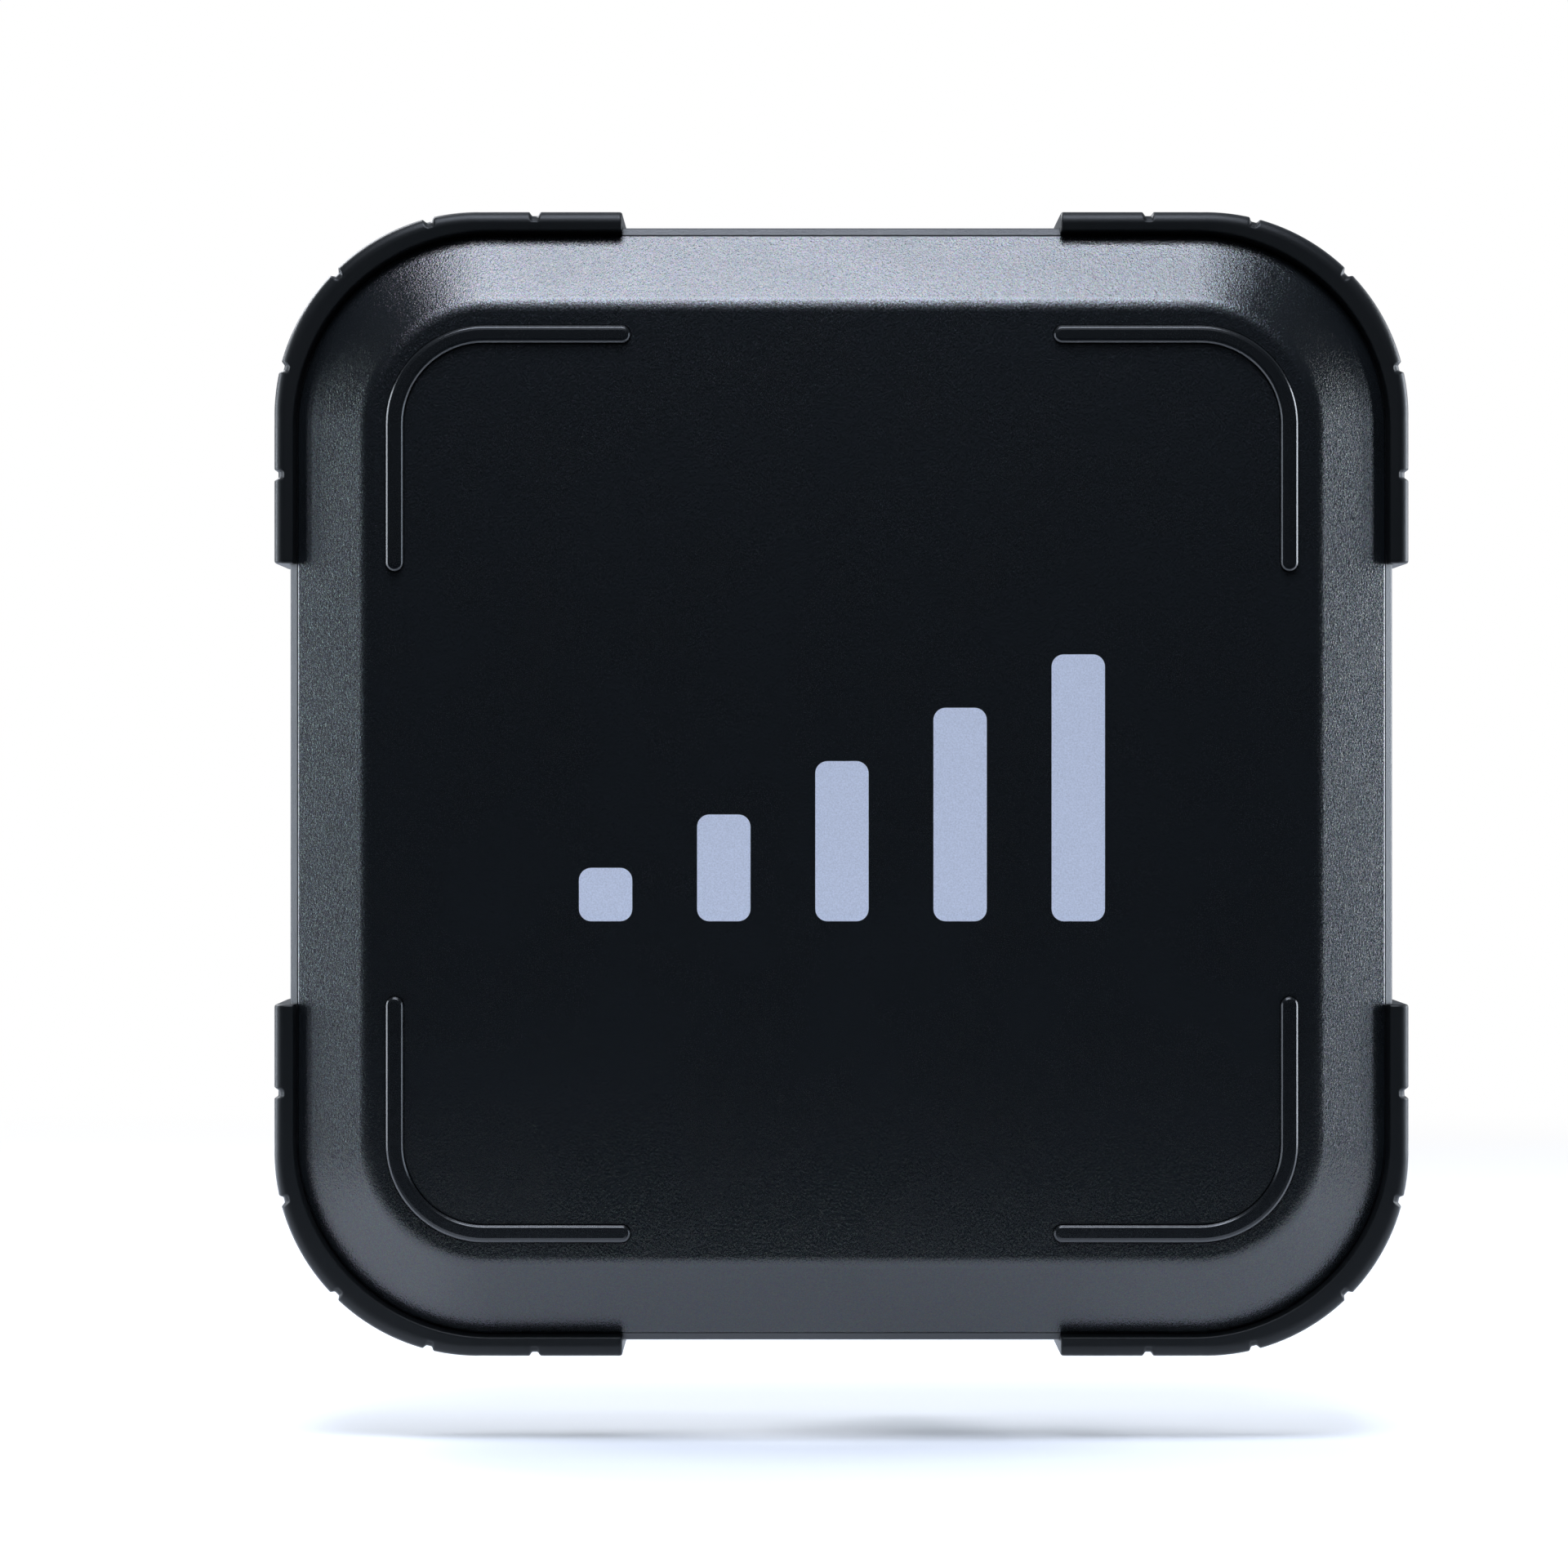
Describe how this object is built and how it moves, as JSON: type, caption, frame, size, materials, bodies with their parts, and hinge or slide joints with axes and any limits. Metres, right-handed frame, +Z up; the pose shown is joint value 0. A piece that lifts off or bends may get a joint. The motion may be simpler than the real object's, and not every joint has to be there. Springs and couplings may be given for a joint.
{
  "type": "wireless video receiver panel",
  "caption": "Square flat-panel antenna receiver with rubber corner guards, rear electronics housing, battery plate, video connectors and a tilting stand socket.",
  "frame": {"origin": "centre of the blind end of the stand socket's bore, where the top of a 16 mm stand spigot seats", "axes": "+Z up along the spigot, -Y the way the radome faces, +X to the viewer's right when looking at the radome"},
  "size_m": [0.3, 0.0929, 0.3026],
  "materials": {
    "radome_plastic": "black, fine spark-eroded leather grain with a soft sparkle",
    "case_plastic": "black, finer spark-eroded grain",
    "guard_rubber": "matt black moulded rubber",
    "strip_rubber": "matt dark grey-black rubber",
    "seal_rubber": "black sealing rubber",
    "circuit_board": "green solder mask",
    "patch_copper": "tinned copper sheet",
    "coax_jacket": "brown coaxial jacket",
    "shield_steel": "tinned shield can",
    "chip_epoxy": "black moulded epoxy",
    "thermal_silicone": "grey-blue silicone",
    "black_anodised": "bead-blasted, black anodised",
    "gold_plate": "gold plated",
    "nickel_plate": "nickel plated",
    "stainless_steel": "fine brushed stainless steel",
    "moulded_plastic": "black glass-filled nylon",
    "clamp_brass": "plain turned brass",
    "light_pipe": "clear polycarbonate",
    "black_steel": "black oxide steel"
  },
  "bodies": {
    "stand_socket": {"stand_socket": "black_anodised"},
    "panel": {"front_shell": "radome_plastic", "rear_shell": "case_plastic", "corner_guard_top_left": "guard_rubber", "corner_guard_top_right": "guard_rubber", "corner_guard_bottom_left": "guard_rubber", "corner_guard_bottom_right": "guard_rubber", "face_strip_top_left": "strip_rubber", "face_strip_top_right": "strip_rubber", "face_strip_bottom_left": "strip_rubber", "face_strip_bottom_right": "strip_rubber", "perimeter_seal": "seal_rubber", "antenna_board": "circuit_board", "receiver_board": "circuit_board", "patch_antenna_top_left": "patch_copper", "patch_antenna_top_right": "patch_copper", "patch_antenna_centre": "patch_copper", "patch_antenna_bottom_left": "patch_copper", "patch_antenna_bottom_right": "patch_copper", "antenna_coax_top_left": "coax_jacket", "antenna_coax_top_right": "coax_jacket", "antenna_coax_centre": "coax_jacket", "antenna_coax_bottom_left": "coax_jacket", "antenna_coax_bottom_right": "coax_jacket", "rf_shield_can": "shield_steel", "video_processor": "chip_epoxy", "thermal_pad": "thermal_silicone", "electronics_housing": "black_anodised", "mount_bracket": "black_anodised", "bnc_jack_1": "gold_plate", "bnc_jack_2": "gold_plate", "bnc_nut_1": "nickel_plate", "bnc_nut_2": "nickel_plate", "power_socket": "nickel_plate", "hdmi_socket": "stainless_steel", "usb_socket": "stainless_steel", "pivot_bolt": "stainless_steel", "switch_bezel": "moulded_plastic", "battery_plate": "moulded_plastic", "battery_contact_block": "moulded_plastic", "status_light_pipe": "light_pipe", "housing_screw_top_left": "black_steel", "housing_screw_top_right": "black_steel", "housing_screw_bottom_left": "black_steel", "housing_screw_bottom_right": "black_steel", "battery_plate_screw_top_left": "black_steel", "battery_plate_screw_top_right": "black_steel", "battery_plate_screw_bottom_left": "black_steel", "battery_plate_screw_bottom_right": "black_steel", "bracket_screw_top_left": "black_steel", "bracket_screw_top_right": "black_steel", "bracket_screw_bottom_left": "black_steel", "bracket_screw_bottom_right": "black_steel"},
    "pin_clamp_pad": {"pin_clamp_pad": "clamp_brass"},
    "pin_clamp_knob": {"pin_clamp_knob": "moulded_plastic"},
    "tilt_lock_lever": {"tilt_lock_lever": "moulded_plastic"},
    "power_rocker": {"power_rocker": "moulded_plastic"},
    "pair_button": {"pair_button": "moulded_plastic"},
    "battery_release_lever": {"battery_release_lever": "moulded_plastic"},
    "battery_latch": {"battery_latch": "stainless_steel"}
  },
  "joints": [
    {"name": "tilt", "type": "hinge", "parent": "stand_socket", "child": "panel", "pos_m": [0, 0, 0.013], "axis": [-1, 0, 0], "range_deg": [-20, 75]},
    {"name": "tilt_lock", "type": "hinge", "parent": "panel", "child": "tilt_lock_lever", "pos_m": [0, 0, 0.013], "axis": [1, 0, 0], "range_deg": [0, 110]},
    {"name": "pin_clamp_turn", "type": "hinge", "parent": "pin_clamp_pad", "child": "pin_clamp_knob", "pos_m": [0, 0, -0.017], "axis": [1, 0, 0], "range_deg": [0, 722]},
    {"name": "pin_clamp_feed", "type": "slide", "parent": "stand_socket", "child": "pin_clamp_pad", "axis": [1, 0, 0], "range_m": [0, 0.0025]},
    {"name": "power_switch", "type": "hinge", "parent": "panel", "child": "power_rocker", "pos_m": [-0.0885, -0.0227, 0.086], "axis": [0, 1, 0], "range_deg": [0, 14]},
    {"name": "pair_press", "type": "slide", "parent": "panel", "child": "pair_button", "axis": [0, -1, 0], "range_m": [0, 0.0008], "stiffness_N_per_m": 800, "springref_m": -0.0006},
    {"name": "battery_release", "type": "slide", "parent": "panel", "child": "battery_release_lever", "axis": [0, 0, -1], "range_m": [0, 0.008], "stiffness_N_per_m": 250, "springref_m": -0.004},
    {"name": "battery_latch_travel", "type": "slide", "parent": "panel", "child": "battery_latch", "axis": [0, -1, 0], "range_m": [0, 0.0034]}
  ],
  "couplings": [
    {"joint": "pin_clamp_turn", "follows": "pin_clamp_feed", "rad_per_m": 5026.5},
    {"joint": "battery_latch_travel", "follows": "battery_release", "ratio": 0.4}
  ]
}
